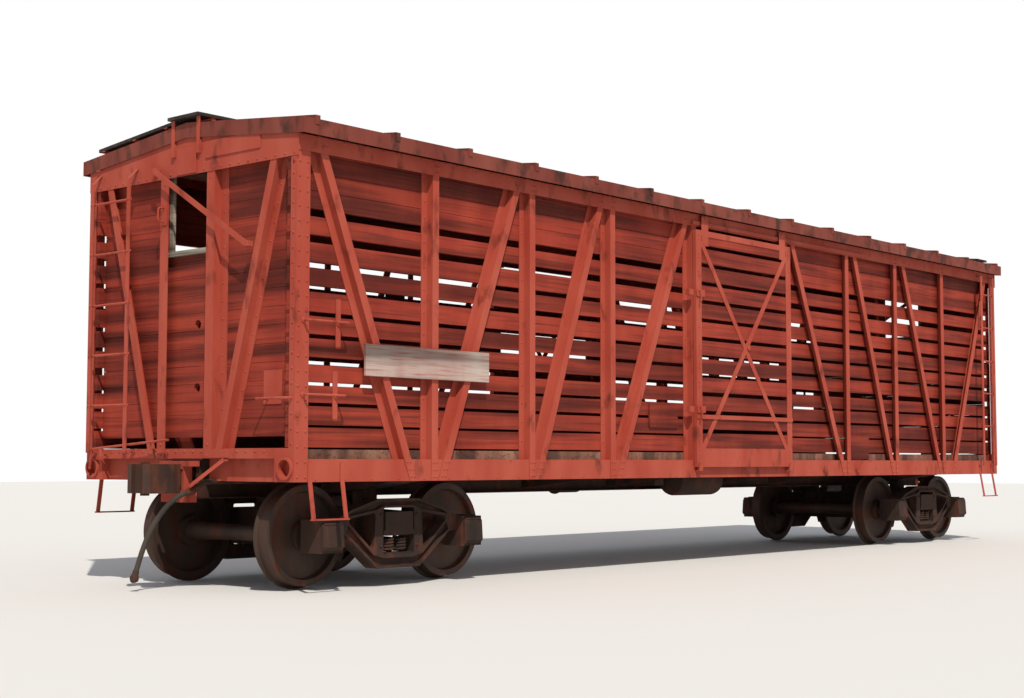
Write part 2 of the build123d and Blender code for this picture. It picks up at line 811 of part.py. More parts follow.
    tread_y = wheel_inner_y + 32
    outer = wheel_inner_y + wheel_width
    plate_mid = wheel_inner_y + 75
    hub_in = outer + 20 - hub_width
    hub_out = outer + 20
    with BuildPart() as wheelset:
        with BuildSketch(Plane.YZ):
            with BuildLine():
                half = (
                    (0, axle_radius - 8), (400, axle_radius - 2), (hub_in, wheel_seat_radius),
                    (hub_in, hub_radius), (hub_in + 60, hub_radius),
                    (plate_mid - wheel_plate / 2 - 6, tread_radius - rim_depth - 15),
                    (wheel_inner_y, tread_radius - rim_depth),
                    (wheel_inner_y, tread_radius + 2), (wheel_inner_y + 8, tread_radius + flange_height),
                    (wheel_inner_y + 20, tread_radius + flange_height),
                    (tread_y, tread_radius), (outer, tread_radius - 4),
                    (outer, tread_radius - rim_depth), (plate_mid + wheel_plate / 2 + 6, tread_radius - rim_depth - 15),
                    (hub_out - 60, hub_radius), (hub_out, hub_radius), (hub_out, 70),
                    (box_inner_y - 14, 70), (box_inner_y - 14, journal_radius),
                    (journal_end_y, journal_radius), (journal_end_y, 0),
                )
                Polyline(*half, *[(-y, r) for y, r in reversed(half) if y], close=True)
            make_face()
        revolve(axis=Axis.Y)
    for name, turned, end in (("a1", 0, -1), ("a2", 0, 1), ("b1", 180, 1), ("b2", 180, -1)):
        x = -truck_centre_x + (end if not turned else -end) * axle_x
        moved = wheelset.part.moved(Location((x, 0, axle_z))).rotate(Axis.Z, turned)
        moved.label = f"wheelset_{name}"
        export_step(moved, f"parts/wheelset_{name}.step")


def build_ends():
    """Couplers, strikers and the rods, ladders and steps at the ends and corners."""
    with BuildPart() as strikers:
        back, front = -half_length + bar_thick, -striker_out
        top = centre_bottom + 35
        block((front, back), (-205, 205), (rail_top + 984, rail_top + 1030))
        block((front, back), (-108, 108), (rail_top + 962, rail_top + 984))
        for side in (-1, 1):
            y = sorted((side * (shank_half + 12), side * (shank_half + 42)))
            block((front + 10, back), y, (rail_top + 700, rail_top + 984))
        block((front, back), (-175, 175), (rail_top + 690, rail_top + 784))
        block((front - 10, back), (-shank_half - 12, shank_half + 12),
              (rail_top + 784, rail_top + 962), mode=Mode.SUBTRACT)
        turned_copy(strikers)
    save(strikers, "strikers")

    with BuildPart() as couplers:
        block((-6500, -6000), (-shank_half, shank_half),
              (coupler_z - shank_height / 2, coupler_z + shank_height / 2))
        block((-6000, -5300), (-centre_half, centre_half), (coupler_z - 130, coupler_z + 130))
        guard = (
            (-6470, -150), (-6560, -175), (-6790, -175), (-6820, -150), (-6800, -90),
            (-6640, -70), (-6625, 40), (-6650, 60), (-6760, 60), (-6815, 40), (-6800, 110),
            (-6760, 150), (-6640, 165), (-6540, 130), (-6470, 110),
        )
        plate(Plane.XY.offset(coupler_z - 118), guard, 236)
        block((-6665, -6605), (80, 125), (coupler_z - 140, coupler_z + 138))
        turned_copy(couplers)
    save(couplers, "couplers")

    with BuildPart() as uncoupling_levers:
        x = -striker_out + 30
        rod(((x, 1250, rail_top + 960), (x, 1225, rail_top + 1132), (x, 130, rail_top + 1205)),
            11, 25)
        for y in (1080, 390):
            level = rail_top + 1205 - 73 * (y - 130) / 1095
            block((x - 8, -half_length + bar_thick), (y - 18, y + 18), (level - 70, level - 55))
            block((x - 8, x + 8), (y - 18, y + 18), (level - 70, level - 8))
        turned_copy(uncoupling_levers)
    save(uncoupling_levers, "uncoupling_levers")

    with BuildPart() as sill_steps:
        for x_in, x_out in ((-6168, -5825), (5805, 6168)):
            low = rail_top + 578
            for x in (x_in, x_out):
                block((x - 19, x + 19), (-half_width - 4, -half_width + bar_thick),
                      (sill_bottom + 10, sill_bottom + 150))
                strap(((x, -half_width - 2, sill_bottom + 12), (x, -half_width - 52, low)),
                      38, 10, (1, 0, 0))
            block((x_in - 19, x_out + 19), (-half_width - 75, -half_width - 35),
                  (low - 12, low))
        turned_copy(sill_steps)
    save(sill_steps, "sill_steps")


def main():
    build_underframe()
    build_side_frames()
    build_end_frames()
    build_boards()
    build_roof()
    build_door("near", False)
    build_door("far", True)
    build_door_gear()
    build_trucks()
    build_ends()


main()
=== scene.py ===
"""Visual model of a riveted stock car on its CAD frame: materials, irons, rivets, brakes and hoses."""
# %% [markdown]
# Load the frame, in which every solid of the stock car is a named node on its own body.
# The heights of the real car are measured from the rail head, so RAIL lifts them to the part's own ground
# plane, which touches the wheel flanges.
# %%
import json
from math import radians
import bmesh
import bpy
import numpy as np
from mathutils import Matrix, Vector


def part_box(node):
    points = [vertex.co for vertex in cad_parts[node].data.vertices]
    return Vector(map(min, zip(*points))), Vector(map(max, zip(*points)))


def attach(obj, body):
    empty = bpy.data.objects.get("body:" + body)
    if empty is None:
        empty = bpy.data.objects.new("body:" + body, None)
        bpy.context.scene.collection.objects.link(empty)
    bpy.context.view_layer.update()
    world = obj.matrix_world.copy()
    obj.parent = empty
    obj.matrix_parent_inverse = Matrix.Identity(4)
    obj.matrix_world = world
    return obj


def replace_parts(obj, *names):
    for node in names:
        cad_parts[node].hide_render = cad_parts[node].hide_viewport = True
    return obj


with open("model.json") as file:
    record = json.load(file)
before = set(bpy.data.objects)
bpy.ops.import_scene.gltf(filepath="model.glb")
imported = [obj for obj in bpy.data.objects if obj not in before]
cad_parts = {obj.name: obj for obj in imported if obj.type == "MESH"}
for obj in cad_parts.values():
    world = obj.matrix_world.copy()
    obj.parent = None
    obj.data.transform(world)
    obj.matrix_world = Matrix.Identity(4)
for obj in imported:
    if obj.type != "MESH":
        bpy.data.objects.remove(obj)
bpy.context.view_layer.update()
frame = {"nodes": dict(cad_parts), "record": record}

RAIL = 0.0254

# %% [markdown]
# The car was painted one red all over, and has weathered: steel has gone chalky and pink with rust coming
# through, and the boards show dark grain. Image textures would give that, but node noise needs no picture
# and no seams, and fits pieces of any size. Colour = mix(paint, faded paint, noise), then rust where a
# second noise passes a limit. Wood takes a noise stretched along the board for its grain, and a broader one
# that shades each board on its own.
# %%


def surface(name, paint, faded, rust, rusty=0.5, grain=None, boards=(0.35, 0.35, 6.5), rough=0.75, metal=0.0,
            bump=0.25, scale=3.0):
    """Colour = shade * mix(mix(paint, faded, n1), rust, n2). n2 is rust or grain. Only wood has shade."""
    material = bpy.data.materials.new(name)
    material.use_nodes = True
    nodes, links = material.node_tree.nodes, material.node_tree.links
    shader = nodes["Principled BSDF"]
    place = nodes.new("ShaderNodeTexCoord").outputs["Object"]

    def noise(size, stretch=(1, 1, 1), detail=6):
        mapping = nodes.new("ShaderNodeMapping")
        mapping.inputs["Scale"].default_value = stretch
        links.new(place, mapping.inputs["Vector"])
        texture = nodes.new("ShaderNodeTexNoise")
        texture.inputs["Scale"].default_value = size
        texture.inputs["Detail"].default_value = detail
        links.new(mapping.outputs["Vector"], texture.inputs["Vector"])
        return texture.outputs["Fac"]

    def ramp(value, low, high, start=0.0, end=1.0):
        node = nodes.new("ShaderNodeMapRange")
        for socket, number in (("From Min", low), ("From Max", high), ("To Min", start), ("To Max", end)):
            node.inputs[socket].default_value = number
        links.new(value, node.inputs["Value"])
        return node.outputs["Result"]

    def mix(fac, a, b, kind="MIX"):
        node = nodes.new("ShaderNodeMix")
        node.data_type, node.blend_type = "RGBA", kind
        for socket, value in ((node.inputs[0], fac), (node.inputs[6], a), (node.inputs[7], b)):
            if isinstance(value, float):
                socket.default_value = value
            elif isinstance(value, tuple):
                socket.default_value = (*value, 1)
            else:
                links.new(value, socket)
        return node.outputs[2]

    colour = mix(ramp(noise(scale, (1, 1, 0.35)), 0.3, 0.7), paint, faded)
    if grain:
        relief = noise(9, grain, 8)
        colour = mix(ramp(relief, 0.50, 0.80), colour, rust)
        colour = mix(1.0, colour, ramp(noise(1.0, boards, 2), 0.38, 0.60, 0.42, 1.25), "MULTIPLY")
    else:
        relief = noise(60, detail=3)
        colour = mix(ramp(noise(scale * 2.3, (1, 1, 0.5), 9), rusty, rusty + 0.16), colour, rust)
    links.new(colour, shader.inputs["Base Color"])
    links.new(ramp(noise(scale * 6), 0, 1, rough - 0.12, min(1, rough + 0.12)), shader.inputs["Roughness"])
    shader.inputs["Metallic"].default_value = metal
    shader.inputs["Specular IOR Level"].default_value = 0.22
    raised = nodes.new("ShaderNodeBump")
    raised.inputs["Strength"].default_value, raised.inputs["Distance"].default_value = bump, 0.004
    links.new(relief, raised.inputs["Height"])
    links.new(raised.outputs["Normal"], shader.inputs["Normal"])
    return material


# %% [markdown]
# One material for each thing that weathers in its own way. The body is one faded red, the boards a deeper
# one, and the underframe, trucks and wheels are nearly black: dirty dark iron, made darker still as painted
# shade for the deep shadow under the car. Each CAD node has a slot in the record, and the slot says which of
# them it gets. Only the floor differs from its slot, as its planks were never painted.
# %%
steel = surface("faded_red_steel", (0.36, 0.050, 0.028), (0.45, 0.090, 0.056), (0.17, 0.030, 0.017), 0.58)
# Painted shade: under, iron and wheel are darkened past dirty iron to stand in for the shadow under the car.
under = surface("underframe_steel", (0.022, 0.013, 0.010), (0.055, 0.026, 0.018), (0.085, 0.026, 0.015),
                0.5, rough=0.85)
iron = surface("truck_iron", (0.022, 0.014, 0.011), (0.060, 0.032, 0.023), (0.10, 0.034, 0.020),
               0.52, rough=0.85, bump=0.5)
wheel = surface("wheel_steel", (0.030, 0.018, 0.014), (0.075, 0.045, 0.033), (0.085, 0.028, 0.016),
                0.5, rough=0.6, metal=0.25)
paint_wood = surface("red_boards", (0.22, 0.024, 0.013), (0.31, 0.043, 0.023), (0.085, 0.018, 0.012),
                     grain=(0.14, 0.14, 6), bump=0.6)
bare_wood = surface("bare_planks", (0.30, 0.24, 0.18), (0.42, 0.36, 0.29), (0.13, 0.09, 0.06),
                    grain=(0.3, 0.3, 8), bump=0.6)
floor_wood = surface("floor_planks", (0.17, 0.060, 0.040), (0.27, 0.15, 0.10), (0.06, 0.025, 0.018),
                     grain=(4, 0.2, 4), boards=(5, 0.3, 0.3), bump=0.9)
sign_wood = surface("board_with_old_paint", (0.43, 0.36, 0.31), (0.34, 0.20, 0.17), (0.30, 0.07, 0.05),
                    grain=(0.35, 1, 7), bump=0.5)
dark_wood = surface("dark_planks", (0.035, 0.022, 0.017), (0.085, 0.055, 0.042), (0.02, 0.014, 0.011),
                    grain=(0.3, 5, 5), boards=(0.4, 6, 0.4), bump=0.6)
roofing = surface("roof_sheet", (0.15, 0.026, 0.017), (0.24, 0.060, 0.040), (0.06, 0.018, 0.012),
                  0.5, rough=0.7)
cast = surface("coupler_iron", (0.035, 0.018, 0.013), (0.085, 0.042, 0.030), (0.11, 0.036, 0.020),
               0.5, rough=0.8, bump=0.5)
rubber = surface("hose_rubber", (0.03, 0.024, 0.02), (0.09, 0.07, 0.058), (0.05, 0.04, 0.032),
                 0.55, rough=0.8)
by_slot = {
    "body_steel": steel, "underframe_steel": under, "truck_iron": iron, "wheel_steel": wheel,
    "painted_wood": paint_wood, "bare_wood": bare_wood, "dark_wood": dark_wood,
    "roof_steel": roofing, "coupler_steel": cast,
}
for entry in frame["record"]["subparts"]:
    node = frame["nodes"][entry["node"]]
    finish = floor_wood if entry["node"] == "floor" else by_slot[entry["material_slot"]]
    for material_slot in node.material_slots:
        material_slot.material = finish
    if not node.material_slots:
        node.data.materials.append(finish)
print("materials", len(bpy.data.materials))

# %% [markdown]
# Ladders, irons, plates and rivet heads are all plain rolled or forged iron. They could be modelled one by
# one in the viewport, but worked out as arrays they can follow the car's own dimensions. A Stock gathers
# the points and faces of many such forms, and becomes one object, so that the outliner stays short.
# %%
BOX_FACES = np.array([(0, 1, 3, 2), (4, 6, 7, 5), (0, 4, 5, 1), (2, 3, 7, 6), (0, 2, 6, 4), (1, 5, 7, 3)])


def unit(vectors):
    """Each vector divided by its length."""
    vectors = np.asarray(vectors, float)
    return vectors / np.linalg.norm(vectors, axis=-1, keepdims=True)


def ring_faces(rows, sides):
    """The quads between neighbouring rings of a closed grid with so many rows and sides."""
    k, i = np.meshgrid(np.arange(rows - 1), np.arange(sides), indexing="ij")
    j = (i + 1) % sides
    corners = (k * sides + i, k * sides + j, (k + 1) * sides + j, (k + 1) * sides + i)
    return np.stack(corners, -1).reshape(-1, 4)


class Stock:
    """Points and faces gathered from simple forms."""

    def __init__(self):
        self.points, self.faces = np.empty((0, 3)), []

    def add(self, points, quads, caps=()):
        base = len(self.points)
        self.points = np.vstack([self.points, np.asarray(points, float).reshape(-1, 3)])
        self.faces += (np.asarray(quads) + base).tolist()
        self.faces += [(np.asarray(cap) + base).tolist() for cap in caps]

    def plate(self, x, y, z):
        """A plate from its spans: its corners are every (x_i, y_j, z_k)."""
        self.add(np.stack(np.meshgrid(x, y, z, indexing="ij"), -1), BOX_FACES)

    def flat_bar(self, start, end, width, thick, normal):
        """A flat bar: p = end point +- width/2 across +- thick/2 along the normal."""
        ends, normal = np.array([start, end], float), unit(normal)
        across = unit(np.cross(ends[1] - ends[0], normal))
        signs = np.array([(a, b) for a in (-0.5, 0.5) for b in (-0.5, 0.5)])
        self.add(ends[:, None] + signs[:, :1] * width * across + signs[:, 1:] * thick * normal, BOX_FACES)

    def tube(self, line, radius, sides=12, beside=None):
        """A tube along a line: p(i, t) = line_i + r (u_i cos t + v_i sin t), with u and v across the line."""
        line = np.asarray(line, float)
        ahead = unit(np.gradient(line, axis=0))
        if beside is None:
            beside = np.linalg.svd(line - line.mean(0))[2][-1]
        u = unit(beside - ahead * (ahead @ np.asarray(beside, float))[:, None])
        v = np.cross(ahead, u)
        turn = np.linspace(0, 2 * np.pi, sides, endpoint=False)[None, :, None]
        last = (len(line) - 1) * sides
        self.add(line[:, None] + radius * (u[:, None] * np.cos(turn) + v[:, None] * np.sin(turn)),
                 ring_faces(len(line), sides), (np.arange(sides)[::-1], np.arange(last, last + sides)))

    def bar(self, points, radius, bend=0.03, sides=12):
        """A bent round bar. A corner c from a to b is p(t) = (1-t)^2 a + 2t(1-t) c + t^2 b."""
        points = np.asarray(points, float)
        if len(points) > 2:
            corner, t = points[1:-1, None], np.linspace(0, 1, 7)[None, :, None]
            a = corner + unit(points[:-2] - points[1:-1])[:, None] * bend
            b = corner + unit(points[2:] - points[1:-1])[:, None] * bend
            curve = ((1 - t) ** 2 * a + 2 * t * (1 - t) * corner + t * t * b).reshape(-1, 3)
            points = np.vstack([points[:1], curve, points[-1:]])
        self.tube(points, radius, sides)

    def turning(self, centre, axis, profile, sides=28):
        """A turned form: p(s, t) = c + h(s) a + r(s) (u cos t + v sin t) for the profile's (h, r)."""
        axis = unit(axis)
        u = unit(np.cross(axis, (0.31, 0.52, 0.79)))
        v = np.cross(axis, u)
        turn = np.linspace(0, 2 * np.pi, sides, endpoint=False)[:, None]
        heights, radii = np.array(profile, float).T
        last = (len(heights) - 1) * sides
        self.add(np.asarray(centre, float) + heights[:, None, None] * axis
                 + radii[:, None, None] * (u * np.cos(turn) + v * np.sin(turn)),
                 ring_faces(len(heights), sides), (np.arange(sides)[::-1], np.arange(last, last + sides)))

    def rivet(self, centre, normal, radius=0.0115):
        """A rivet head: r = R cos a and h = 0.7 R sin a, for a from 0 to 70 degrees."""
        angles = np.radians((0, 40, 70))
        dome = np.stack([0.7 * radius * np.sin(angles), radius * np.cos(angles)], -1)
        self.turning(centre, normal, dome, 8)

    def turned(self):
        """Adds the copy turned half round the car's middle: (x, y, z) to (-x, -y, z)."""
        count = len(self.points)
        self.faces += [[index + count for index in face] for face in self.faces]
        self.points = np.vstack([self.points, self.points * (-1, -1, 1)])
        return self


# %% [markdown]
# Cut and rolled iron has sharp but not razor edges. A Stock becomes one mesh object with its faces turned
# outwards, smooth shading up to 38 degrees and a fine bevel, and rides on its body. The frame's rivets, the
# trucks' bolts and the springs, which are round all over, go without the bevel to save triangles.
# %%


def make(name, stock, material, body="carbody", bevel=0.0015):
    """One object of a Stock, riding on a body, with its faces pointing outwards."""
    mesh = bpy.data.meshes.new(name)
    mesh.from_pydata(stock.points.tolist(), [], stock.faces)
    shell = bmesh.new()
    shell.from_mesh(mesh)
    bmesh.ops.recalc_face_normals(shell, faces=shell.faces)
    shell.to_mesh(mesh)
    shell.free()
    mesh.shade_smooth()
    mesh.set_sharp_from_angle(angle=radians(38))
    mesh.materials.append(material)
    piece = bpy.data.objects.new(name, mesh)
    bpy.context.scene.collection.objects.link(piece)
    if bevel:
        rounded = piece.modifiers.new("edges", "BEVEL")
        rounded.width, rounded.segments, rounded.limit_method = bevel, 2, "ANGLE"
    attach(piece, body)
    print(name, len(stock.points), "points")
    return piece


# %% [markdown]
# These are the planes and places of the frame that the small irons sit on, in metres. They repeat the CAD's
# own values. Sides face -Y and the near end faces -X, so that most are negative, and the far ones come by
# turning. Braces are given by x at the sill and at the chord, and slats by their edges above the rail head.
# %%
FACE, WALL, CHORD = -1.383, -1.307, -1.391  # y of the posts' faces, of the side boards and of the top chord
PLATE, END, BOARDS = -6.336, -6.330, -6.254  # x of the end plate, of the end posts and of the end boards
DOOR_FACE = 1.429  # y of the door's steel, either side
ROLLERS = (-0.85, 2.45)  # x from end to end of the way of the near door's rollers, and a little room
TRUCK, AXLE = 4.867, 0.838  # x of the truck centres, and of an axle from there
FLAT = 0.046  # width of the ladders' stiles
BODY_POSTS = (4.795, 3.518, 2.314, 0.930)
BRACES = ((5.120, 6.080), (4.640, 3.740), (3.370, 2.510), (2.150, 1.090))
SLATS = ((1.137, 1.293), (1.314, 1.462), (1.491, 1.625), (1.653, 1.788), (1.852, 1.999),
         (2.035, 2.177), (2.213, 2.369), (2.420, 2.562), (2.606, 2.763), (2.828, 2.971),
         (3.036, 3.176), (3.180, 3.320), (3.324, 3.464))
print("posts", len(BODY_POSTS), "braces", len(BRACES), "slats", len(SLATS))

# %% [markdown]
# A trainman climbs at two diagonal corners by ladders of flat stiles and round rungs, and the other two
# have bent grab irons. Each iron could be a curve with a round section, but a swept tube with turned feet
# needs no conversion, and takes its place in the same object as the plates it is fixed to.
# %%
RUNGS = [RAIL + z for z in (1.510, 1.950, 2.390, 2.840, 3.290)]
ladders = Stock()
for y, foot_x in ((0.700, -6.322), (1.240, END)):
    ladders.flat_bar((-6.420, y, 1.130), (-6.420, y, 3.495), FLAT, 0.010, (1, 0, 0))
    ladders.flat_bar((-6.424, y, 1.130), (foot_x, y, 1.130), FLAT, 0.010, (0, 0, 1))
    ladders.flat_bar((-6.420, y, 3.495), (PLATE, y, 3.585), FLAT, 0.010, (1, 0, 1))
    for z in RUNGS:
        ladders.rivet((-6.425, y, z), (-1, 0, 0), 0.014)
for z in RUNGS:
    rung = (-6.415, 1.262, z), (-6.395, 1.240, z), (-6.395, 0.700, z), (-6.415, 0.680, z)
    ladders.bar(rung, 0.011, 0.008)
for x in (5.800, 6.165):
    ladders.flat_bar((x, -1.450, 1.010), (x, -1.450, 3.560), FLAT, 0.010, (0, 1, 0))
    ladders.flat_bar((x, -1.453, 1.010), (x, -1.375, 1.010), FLAT, 0.010, (0, 0, 1))
    ladders.flat_bar((x, -1.453, 3.560), (x, CHORD, 3.560), FLAT, 0.010, (0, 0, 1))
for z in RUNGS:
    rung = (5.790, -1.440, z), (5.800, -1.425, z), (6.165, -1.425, z), (6.175, -1.440, z)
    ladders.bar(rung, 0.011, 0.006)
make("ladders", ladders.turned(), steel)

# %% [markdown]
# Grab irons are round bars with a bent foot at each end, bolted to a post or to a small plate on the
# boards. Two are on the side and one on the end, all by the near corner, and one is on the roof beside the
# running board.
# %%
irons = Stock()
for z, x in ((2.155, -5.816), (1.573, -5.844)):
    irons.bar(((-6.250, FACE, z), (-6.250, -1.448, z), (x, -1.448, z), (x, WALL - 0.008, z)), 0.010)
    irons.plate((x - 0.026, x + 0.026), (WALL - 0.008, WALL), (z - 0.2, z + 0.2))
    for end in ((-6.250, FACE, z), (x, WALL - 0.008, z)):
        irons.turning(end, (0, -1, 0), ((0, 0.024), (0.010, 0.022), (0.016, 0.012)), 16)
irons.bar(((END, -1.348, 1.545), (-6.398, -1.348, 1.545), (-6.398, -0.985, 1.545),
           (BOARDS - 0.008, -0.985, 1.545)), 0.010)
irons.plate((BOARDS - 0.008, BOARDS), (-1.150, -0.930), (1.505, 1.775))
irons.bar(((-6.20, 0.38, 3.875), (-6.20, 0.38, 3.935), (-6.20, 0.86, 3.885), (-6.20, 0.86, 3.825)), 0.010)
make("grab_irons", irons.turned(), steel)

# %% [markdown]
# Thin wooden boards carry the car's number and its cards, and are left blank here. They are flat, so each
# is a box between two corners, set against the face that it is fixed to, with its edges eased by a bevel.
# %%
boards = Stock()
boards.plate((-5.595, -4.100), (FACE - 0.022, FACE), (1.745, 2.005))
make("number_boards", boards.turned(), sign_wood)
cards = Stock()
cards.plate((-1.605, -1.121), (WALL - 0.018, WALL), (1.392, 1.626))
cards.plate((2.395, 2.866), (WALL - 0.018, WALL), (1.085, 1.373))
cards.plate((2.438, 2.720), (WALL - 0.014, WALL), (2.748, 2.832))
make("card_boards", cards.turned(), paint_wood)

# %% [markdown]
# Flat iron on the ends: a loose strap that hangs across the hatch, which is kept as it is in the
# photograph, a plate with a handle, plates on the end plate and the flat bar by the air hose. Two keepers
# for the door's bolts stand at its closing side only, since the door would strike them on the other. They
# hang 46 mm clear of the post there, a fault that was found too late to mend.
# %%
fittings = Stock()
fittings.flat_bar((-6.386, 0.400, 3.525), (-6.386, -0.830, 2.795), 0.050, 0.006, (1, 0, 0))
fittings.plate((-6.386, PLATE), (0.375, 0.425), (3.500, 3.550))
fittings.plate((-6.386, END), (-0.860, -0.800), (2.770, 2.815))
fittings.plate((END - 0.012, END), (0.270, 0.345), (3.055, 3.255))
fittings.bar(((END, 0.305, 3.20), (-6.400, 0.305, 3.20), (-6.400, 0.305, 3.08),
              (END, 0.305, 3.08)), 0.009)
fittings.plate((PLATE - 0.010, PLATE), (-0.950, -0.250), (3.560, 3.700))
fittings.plate((PLATE - 0.014, PLATE), (-0.130, 0.130), (3.455, 3.685))
fittings.plate((-6.334, -6.322), (-0.585, -0.270), (1.080, 1.150))
for z in (1.590, 2.795):
    fittings.plate((-1.055, -0.980), (FACE - 0.050, FACE), (z - 0.03, z + 0.03))
fittings.flat_bar((-6.345, -0.540, 1.062), (-6.440, -0.235, 0.850), 0.045, 0.006, (-0.9, 0.2, 0.3))
fittings.plate((-6.352, -6.322), (-0.575, -0.505), (1.052, 1.066))
make("end_straps_and_keepers", fittings.turned(), steel)

# %% [markdown]
# The steel frame is riveted, and its heads stand less than a centimetre proud. A normal map would be
# lighter, but the sun catches each head, and the mesh should carry them. Each head is a low dome of three
# rings, placed by its centre and outward direction. None sits on the chord where the door's rollers pass.
# %%
heads = Stock()
out, away = (0, -1, 0), (-1, 0, 0)


def in_rollers_way(x):
    """Whether the near door's rollers pass this place on the chord."""
    return ROLLERS[0] < x < ROLLERS[1]


for web in BODY_POSTS:
    for end in (-1, 1):
        x = end * (web - 0.040)
        for side in (-0.018, 0.018):
            for z in (0.925, 0.985, 1.045):
                heads.rivet((x + side, FACE, z), out)
            for z in () if in_rollers_way(x) else (3.515, 3.565):
                heads.rivet((x + side, CHORD, z), out)
        for low, high in SLATS:
            heads.rivet((end * (web + 0.040), WALL - 0.008, RAIL + (low + high) / 2), out, 0.010)
for foot, top in BRACES:
    for end in (-1, 1):
        low_x, high_x = end * (foot - 0.040), end * (top - 0.040)
        for side in (-0.018, 0.018):
            for z in (0.930, 0.990, 1.050):
                x = low_x + (high_x - low_x) * (z - 1.070) / 2.424
                heads.rivet((x + side, FACE, z), out)
            if not in_rollers_way(high_x):
                heads.rivet((high_x + side, CHORD, 3.545), out)
for x in np.arange(-6.28, 6.30, 0.148):
    if not in_rollers_way(x):
        heads.rivet((x, CHORD, 3.608), out, 0.010)
for x in np.arange(-6.1, 6.15, 0.305):
    heads.rivet((x, -1.375, 0.910), out, 0.010)
print("heads on a side", len(heads.points) // 24)

# %% [markdown]
# The corner posts, the end plate and the end sill have closer rows of heads, and the end boards are bolted
# to the leaning end braces, whose line gives the place of each bolt: y = 0.561 + 0.615 (z - 1.250) / 2.197.
# %%
for end in (-1, 1):
    for z in np.arange(0.93, 3.58, 0.118):
        for x in (6.218, 6.302):
            heads.rivet((end * x, FACE, z), out, 0.012)
        heads.rivet((END, end * 1.348, z + 0.26 if z < 3.3 else 3.40), away, 0.012)
for y in np.arange(-1.36, 1.37, 0.113):
    heads.rivet((PLATE, y, 3.475), away, 0.011)
    if abs(y) < 1.12:
        heads.rivet((-6.322, y, 1.132), away, 0.011)
for side in (-1, 1):
    for z in np.arange(1.33, 3.40, 0.148):
        heads.rivet((BOARDS - 0.008, side * 0.412, z), away, 0.009)
        y = side * (0.521 + 0.615 * (z - 1.250) / 2.197 + 0.040)
        heads.rivet((BOARDS - 0.008, y, z), away, 0.009)
    for z in (1.10, 1.19, 3.40):
        heads.rivet((END, side * 0.31, z), away)
make("rivet_heads", heads.turned(), steel, bevel=0)

# %% [markdown]
# Each door has bolt heads down both stiles, two sliding bolts at its closing side and a boss about 5 cm
# beside the crossing of its braces. They ride on the door and slide with it. The far door is the near one
# turned half round, so turn is the sign of x and y.
# %%
for name, turn in (("near", 1), ("far", -1)):
    work = Stock()
    outwards = (0, -turn, 0)
    for z in [RAIL + 1.362 + 0.192 * k + 0.075 for k in range(11)] + [1.07, 1.15]:
        for side in (-1, 1):
            for shift in (-0.022, 0.022):
                work.rivet((turn * side * 0.880, -turn * DOOR_FACE, z + shift), outwards, 0.010)
    bolt_x = -0.88
    for z in (1.590, 2.795):
        work.plate(sorted((turn * (bolt_x - 0.05), turn * (bolt_x + 0.09))),
                   sorted((-turn * DOOR_FACE, -turn * 1.444)), (z - 0.035, z + 0.035))
        work.bar([(turn * a, -turn * b, c) for a, b, c in (
            (bolt_x - 0.02, 1.444, z + 0.02), (bolt_x - 0.02, 1.475, z + 0.02),
            (bolt_x - 0.02, 1.475, z - 0.09), (bolt_x - 0.02, 1.450, z - 0.10))], 0.008, 0.012)
    work.turning((turn * 0.05, -turn * DOOR_FACE, 2.245 + RAIL), outwards,
                 ((0, 0.03), (0.012, 0.028), (0.02, 0.012)), 18)
    make(f"door_fittings_{name}", work, steel, f"door_{name}")

# %% [markdown]
# The hand brake stands on the +X end: a round gear case on a plate, a wheel of five spokes and a rod that
# goes down as far as the top of the end sill. The wheel's rim is p(t) = (6.450, 0.600 + 0.265 cos t,
# 2.620 + 0.265 sin t).
# %%


def on_wheel(x, radius, angles):
    """Points around the brake wheel's axle at one x."""
    return [(x, 0.600 + radius * float(np.cos(t)), 2.620 + radius * float(np.sin(t))) for t in angles]


brake = Stock()
brake.plate((6.330, 6.338), (0.300, 0.880), (2.515, 2.715))
brake.turning((6.338, 0.600, 2.620), (1, 0, 0),
              ((0, 0.11), (0.05, 0.11), (0.075, 0.07), (0.09, 0.03), (0.13, 0.028)))
brake.tube(on_wheel(6.450, 0.265, np.linspace(0, 2 * np.pi, 33)), 0.012)
for t in np.linspace(0, 2 * np.pi, 6)[:-1]:
    brake.bar(((6.455, 0.600, 2.620), *on_wheel(6.440, 0.14, [t]), *on_wheel(6.450, 0.26, [t])), 0.009, 0.02)
brake.bar(((6.36, 0.640, 2.52), (6.36, 0.640, 1.16)), 0.010)
make("hand_brake", brake, steel)

# %% [markdown]
# Under the floor run the brake cylinder, the reservoir and the train pipe, which ends in a cock with a
# handle at each end. Turned bodies are profiles of (distance along the axis, radius) spun about it, and
# pipes are tubes swept along a line. Plain blocks reach up to the floor in place of hangers.
# %%
CYLINDER = ((0, 0.03), (0.02, 0.03), (0.03, 0.12), (0.05, 0.14), (0.07, 0.125), (0.42, 0.125),
            (0.46, 0.10), (0.47, 0.03))
RESERVOIR = ((0, 0.03), (0.03, 0.10), (0.06, 0.155), (0.10, 0.165), (0.80, 0.165), (0.84, 0.155),
             (0.88, 0.10), (0.90, 0.03))
COCK = ((0, 0.026), (0.01, 0.034), (0.05, 0.034), (0.07, 0.028), (0.085, 0.026))
air = Stock()
air.turning((-0.800, 0.620, 0.830), (1, 0, 0), CYLINDER)
air.turning((-0.350, -0.640, 0.850), (1, 0, 0), RESERVOIR)
for x, y, z in ((-0.70, 0.62, 0.94), (-0.45, 0.62, 0.94), (-0.15, -0.64, 1.0), (0.35, -0.64, 1.0)):
    air.plate((x - 0.02, x + 0.02), (y - 0.06, y + 0.06), (z, 1.070))
air.plate((-0.78, -0.62), (-0.78, -0.62), (0.80, 1.070))
air.bar(((-6.44, -0.196, 0.800), (-6.385, -0.215, 0.820), (-6.345, -0.330, 0.8864),
         (6.345, -0.330, 0.8864), (6.385, -0.215, 0.820), (6.44, -0.196, 0.800)), 0.021)
